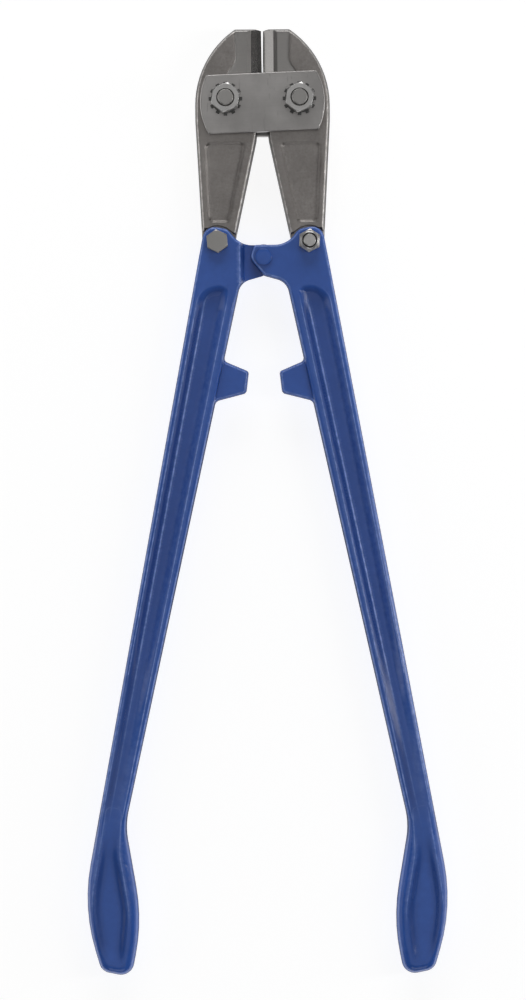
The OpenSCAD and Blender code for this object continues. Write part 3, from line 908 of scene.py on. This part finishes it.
def make_plate(name, angle):
    low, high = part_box(name)
    middle = (low + high) / 2 / MM
    loop = turn(plate_outline(), angle) + [middle.x, middle.y - RIVET_Y]
    loop = counter_clockwise(evenly(loop, 1.5))
    xy, tris = flat_mesh(loop, (0.12, 0.3, 0.6, 1.0), [], 4.0)
    d = inside_distance(xy, loop)
    z = edge_profile(d, PLATE_T / 2, PLATE_T / 2 - PLATE_EDGE, 0.12, 0.5)
    offset = middle.z - MID_Z
    obj = solid_between(name + "_steel", xy, tris, z + offset, offset - z, lambda p: p)
    cut(obj, [drill(circle(JAW_PIVOT * [side, 1], JAW_BOLT_R + PIN_GAP)) for side in (1, -1)],
        50)
    dress(obj, PLATE, "plates", "plate_steel", name)


# ---- Fasteners -----------------------------------------------------------------------
# A part is a (points, faces) pair.  It is made about its own z axis and then put in place.

JAW_FLATS = 17          # across the flats of an M10 nut
JAW_PITCH = 1.5
TAIL_FLATS = 13         # and of an M8 nut
TAIL_PITCH = 1.25
CORNER_SLOPE = math.tan(math.radians(26))
TIP_CHAMFER = 0.4
COLLAR_R = 5.9          # the locking nuts' round tops, which hold the nylon rings
COLLAR_H = 2.2
WASHER_R = 9.2          # the toothed washers
WASHER_T = 0.9
TOOTH_COUNT = 12
TOOTH_R = 10.7
TOOTH_HALF = 1.15


def hex_radius(flats, angle):
    """Radius of a hexagon at an angle, its corner along the x axis."""
    a = (math.degrees(angle) % 60) - 30
    return flats / 2 / math.cos(math.radians(a))


def chamfer(flats, r):
    """Where the flat face of a hexagon ends and how far its side has dropped at radius r."""
    face_r = flats / 2 + 0.1
    return min(face_r, r - 0.12), 0.1 + max(0.0, r - face_r) * CORNER_SLOPE


def hex_profile(flats, h, bore):
    """Profile of a nut at each angle, its corners turned off by a cone."""
    def at(angle):
        r = hex_radius(flats, angle)
        edge, drop = chamfer(flats, r)
        return [(bore + 0.5, 0), (r - 0.25, 0), (r, 0.25), (r, h - drop), (edge, h),
                (bore + 0.7, h), (bore, h - 1.2), (bore, 0.5)]

    return at


def head_profile(flats, h):
    """Profile of a bolt head from its chamfered top (z = 0) up to the joint face (z = h)."""
    def at(angle):
        r = hex_radius(flats, angle)
        edge, drop = chamfer(flats, r)
        return [(edge - 1.6, 0.12), (edge - 0.2, 0.12), (edge, 0.12),
                (r, drop + 0.12), (r, h - 0.2), (r - 0.2, h)]

    return at


def lock_nut_profile(h):
    """Profile of a locking nut: a hexagon below a collar that is rolled in at its top."""
    hex_h = h - COLLAR_H
    bore = TAIL_BOLT_R + PIN_GAP

    def at(angle):
        r = hex_radius(TAIL_FLATS, angle)
        edge, drop = chamfer(TAIL_FLATS, r)
        return [(4.6, 0), (r - 0.2, 0), (r, 0.2), (r, hex_h - drop), (edge, hex_h),
                (COLLAR_R, hex_h + 0.1), (COLLAR_R, h - 1.0), (5.75, h - 0.5),
                (5.3, h - 0.1), (4.9, h), (4.75, h - 0.25), (5.25, h - 0.5),
                (5.3, hex_h + 0.1), (bore, hex_h), (bore, 0.5)]

    return at


def nylon_profile(h):
    """Profile of the ring that a locking nut of height h holds, bulging a little on top."""
    low, high = h - COLLAR_H, h - 0.45
    return lambda angle: [(4.02, low), (5.24, low), (5.24, high), (4.6, high + 0.12),
                          (4.02, high - 0.2)]


def shank_profile(r, length):
    return lambda angle: [(r - 0.1, 0.0), (r, 0.1 * length), (r, length)]


def threaded(r, pitch, z0, z1):
    """Profile of a threaded end from z0 up to a chamfered tip at z1."""
    depth = 0.6 * pitch

    def at(angle):
        out = [(r - 0.05, z0 - 4)]
        steps = int((z1 - z0) / pitch * 8)
        for i in range(steps + 1):
            z = z0 + (z1 - z0) * i / steps
            phase = (z / pitch - angle / (2 * math.pi)) % 1
            cut_in = depth * max(0.0, 1 - abs(phase - 0.5) / 0.42)
            limit = r - max(0.0, TIP_CHAMFER - (z1 - z))
            out.append((min(r - cut_in, limit), z))
        out.append((r - TIP_CHAMFER - 0.4, z1))
        return out

    return at


def put(part, at, z, angle=0.0, flip=False):
    """Moves a part from its own axes to tool coordinates, turned over if flip is set."""
    points, faces = part
    xy = turn(points[:, :2], -angle if flip else angle)
    if flip:
        moved = [at[0] - xy[:, 0], xy[:, 1] + at[1], z - points[:, 2]]
    else:
        moved = [xy[:, 0] + at[0], xy[:, 1] + at[1], z + points[:, 2]]
    return np.column_stack(moved), faces


def fastener(name, parts, body, material, slot, *nodes):
    """One dressed object from several parts, its sharp edges rounded off."""
    points, faces, start = [], [], 0
    for p, f in parts:
        points.append(p)
        faces += [tuple(i + start for i in face) for face in f]
        start += len(p)
    obj = make_object(name, to_frame(np.concatenate(points)), faces, 28)
    rounding = obj.modifiers.new("edges", "BEVEL")
    rounding.width = 0.12 * MM
    rounding.segments = 2
    rounding.limit_method = "ANGLE"
    rounding.angle_limit = math.radians(30)
    return dress(obj, material, body, slot, *nodes)


def washer_part():
    """External-tooth lock washer: a flat ring with twisted teeth."""
    bore = JAW_BOLT_R + 2 * PIN_GAP
    points, faces = turned(lambda angle: [(bore, 0.0), (WASHER_R, 0.0), (WASHER_R, WASHER_T),
                                          (bore, WASHER_T)], 90, hollow=True)
    points = list(map(tuple, points))
    for i in range(TOOTH_COUNT):
        a = 2 * math.pi * (i + 1) / TOOTH_COUNT
        start = len(points)
        for r in (WASHER_R - 0.6, TOOTH_R):
            for side, z in ((-TOOTH_HALF, 0.30), (TOOTH_HALF, -0.02)):
                for thick in (0.0, 0.7):
                    points.append((r * math.cos(a) - side * math.sin(a),
                                   r * math.sin(a) + side * math.cos(a),
                                   max(z + thick, 0.0) if r == TOOTH_R else thick))
        box = [(0, 1, 3, 2), (4, 6, 7, 5), (0, 4, 5, 1), (2, 3, 7, 6), (0, 2, 6, 4),
               (1, 5, 7, 3)]
        faces += [tuple(k + start for k in f) for f in box]
    return np.array(points), faces


def make_jaw_fasteners():
    for side, word in ((-1, "left"), (1, "right")):
        at = JAW_PIVOT * [side, 1]
        nut_low, nut_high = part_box(word + "_jaw_nut")
        bolt_low, bolt_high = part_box(word + "_jaw_bolt")
        nut_z = nut_low.z / MM - MID_Z
        nut_h = (nut_high.z - nut_low.z) / MM
        tip = bolt_high.z / MM - MID_Z
        base = bolt_low.z / MM - MID_Z
        nut_angle = math.radians(22 + side)
        head_angle = math.radians(15 + 12 * side)
        nut = turned(hex_profile(JAW_FLATS, nut_h, JAW_BOLT_R + PIN_GAP), hollow=True)
        fastener(word + "_jaw_hex_nut", [put(nut, at, nut_z, nut_angle)],
                 "plates", ZINC, "zinc", word + "_jaw_nut")
        # The washer's dark steel is painted shade from the nut
        fastener(word + "_jaw_lock_washer", [put(washer_part(), at, PLATE_FACE)],
                 "plates", SHADED_WASHER_STEEL, "zinc", word + "_jaw_washer")
        head = turned(head_profile(JAW_FLATS, -PLATE_FACE - base))
        shank = turned(shank_profile(JAW_BOLT_R, 2 * PLATE_FACE + 1))
        thread = turned(threaded(JAW_BOLT_R, JAW_PITCH, nut_z + 4, tip), 72)
        fastener(word + "_jaw_hex_bolt",
                 [put(head, at, base, head_angle), put(shank, at, -PLATE_FACE),
                  put(thread, at, 0)],
                 "plates", BOLT_END, "zinc", word + "_jaw_bolt")


def make_tail_fasteners():
    """The left bolt has its head in front, the right one has its head at the back."""
    for side, word in ((-1, "left"), (1, "right")):
        at = TAIL_PIVOT * [side, 1]
        body = word + "_handle"
        flip = side < 0
        low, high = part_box(word + "_handle_bolt")
        head_end = (high.z if flip else low.z) / MM - MID_Z
        tip_end = (low.z if flip else high.z) / MM - MID_Z
        length = abs(tip_end - head_end)
        head_h = abs(head_end) - HANDLE_HALF
        thread_start = head_h + 2 * HANDLE_HALF + 3
        head = turned(head_profile(TAIL_FLATS, head_h))
        shank = turned(shank_profile(TAIL_BOLT_R, 2 * HANDLE_HALF + 1))
        thread = turned(threaded(TAIL_BOLT_R, TAIL_PITCH, thread_start, length), 72)
        fastener(word + "_handle_hex_bolt",
                 [put(head, at, head_end, math.radians(35), flip),
                  put(shank, at, head_end + side * head_h, 0, flip),
                  put(thread, at, head_end, 0, flip)],
                 body, BOLT_END if flip else ZINC, "zinc", word + "_handle_bolt")
        nut_low, nut_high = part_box(word + "_handle_nut")
        nut_h = (nut_high.z - nut_low.z) / MM
        nut_z = side * HANDLE_HALF
        nut = turned(lock_nut_profile(nut_h), hollow=True)
        fastener(word + "_handle_lock_nut", [put(nut, at, nut_z, math.radians(27), flip)],
                 body, ZINC, "zinc", word + "_handle_nut")
        nylon_ring = turned(nylon_profile(nut_h), hollow=True)
        fastener(word + "_nut_nylon_ring", [put(nylon_ring, at, nut_z, 0, flip)],
                 body, NYLON, "nylon", word + "_nut_ring")


def make_rivet():
    """The centre rivet, upset at both ends, and the washer under its rear end."""
    low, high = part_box("centre_rivet")
    back, front = low.z / MM - MID_Z, high.z / MM - MID_Z
    r = (high.x - low.x) / 2 / MM
    washer_low, washer_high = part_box("rivet_washer")
    washer_z = (washer_low.z / MM - MID_Z, washer_high.z / MM - MID_Z)
    washer_r = (washer_high.x - washer_low.x) / 2 / MM

    def dome(z0, z1):
        """Half of an upset head: a short side, a round edge and a nearly flat crown."""
        edge = 0.9
        side = [(r - edge * (1 - math.cos(t)), z0 + (z1 - z0) * (0.55 + 0.33 * math.sin(t)))
                for t in np.linspace(0, 1.3, 9)]
        return [(r, z0)] + side + [(0.5 * r, z1), (0.2, z1)]

    def rivet_profile(angle):
        shank = [(r - 0.1, washer_z[0]), (RIVET_R, washer_z[0]), (RIVET_R, HANDLE_HALF),
                 (r - 0.1, HANDLE_HALF)]
        return dome(washer_z[0], back)[::-1] + shank + dome(HANDLE_HALF, front)

    def washer_profile(angle):
        bore = RIVET_R + PIN_GAP
        return [(bore, washer_z[0] + 0.1), (washer_r - 0.3, washer_z[0]),
                (washer_r, washer_z[0] + 0.3), (washer_r, washer_z[1]), (bore, washer_z[1])]

    obj = fastener("centre_rivet_upset", [put(turned(rivet_profile), (0, 0), 0)],
                   "right_handle", ENAMEL, "blue_enamel", "centre_rivet")
    obj.data.set_sharp_from_angle(angle=math.radians(50))
    washer = turned(washer_profile, hollow=True)
    fastener("rivet_back_washer", [put(washer, (0, 0), 0)],
             "right_handle", ENAMEL, "blue_enamel", "rivet_washer")


# ---- Stage, in metres ----------------------------------------------------------------

FLOOR_HALF = 4.0
LIGHTS_AIM = (0, 0, 0.02)
VIEW_HEIGHT = 0.641     # what the camera sees from top to bottom, at mid height
VIEW_MIDDLE = (-0.0013, 0.0011)
VIEW_TURN = math.radians(-0.37)
VIEW_DISTANCE = 2.2
SENSOR_MM = 36


def area_light(name, at, size, power):
    data = bpy.data.lights.new(name, "AREA")
    data.shape = "RECTANGLE"
    data.size, data.size_y = size
    data.energy = power
    obj = bpy.data.objects.new(name, data)
    bpy.context.scene.collection.objects.link(obj)
    obj.location = at
    obj.rotation_euler = (Vector(LIGHTS_AIM) - Vector(at)).to_track_quat("-Z", "Y").to_euler()


def make_stage():
    """The floor, the lights and the camera."""
    scene = bpy.context.scene
    mesh = bpy.data.meshes.new("floor")
    corners = [(x * FLOOR_HALF, y * FLOOR_HALF, 0)
               for x, y in ((-1, -1), (1, -1), (1, 1), (-1, 1))]
    mesh.from_pydata(corners, [], [(0, 1, 2, 3)])
    floor = bpy.data.objects.new("floor", mesh)
    scene.collection.objects.link(floor)
    n = Nodes("floor_white")
    mesh.materials.append(n.finish((0.30, 0.30, 0.30), 0.9, specular=0.0,
                                   Emission_Color=(1, 1, 1, 1), Emission_Strength=0.86))

    world = bpy.data.worlds.new("soft_white")
    world.use_nodes = True
    background = world.node_tree.nodes["Background"]
    background.inputs["Color"].default_value = (1, 1, 1, 1)
    background.inputs["Strength"].default_value = 0.02
    scene.world = world

    area_light("overhead", (0, 0, 4.8), (4.5, 4.5), 31)
    area_light("left_softbox", (-2.2, 0.1, 0.95), (2.2, 1.4), 7.5)
    area_light("right_low", (2.4, 0, 0.45), (2.2, 0.6), 5)
    area_light("right_strip", (1.75, 0.1, 1.4), (0.22, 1.6), 8)
    area_light("top_softbox", (0, 2.3, 1.2), (1.8, 1.0), 22)
    area_light("bottom_softbox", (0, -2.3, 1.2), (1.8, 1.0), 7)

    camera = bpy.data.cameras.new("camera")
    camera.sensor_width = SENSOR_MM
    camera.lens = SENSOR_MM * VIEW_DISTANCE / VIEW_HEIGHT
    camera.clip_end = 20
    obj = bpy.data.objects.new("camera", camera)
    scene.collection.objects.link(obj)
    obj.location = (*VIEW_MIDDLE, MID_Z * MM + VIEW_DISTANCE)
    obj.rotation_euler = (0, 0, VIEW_TURN)
    scene.camera = obj
    scene.view_settings.view_transform = "Standard"
    scene.view_settings.look = "None"


make_handles()
make_jaws()
make_plate("front_link_plate", PLATE_TURN)
make_plate("rear_link_plate", 0.0)
make_jaw_fasteners()
make_tail_fasteners()
make_rivet()
make_stage()
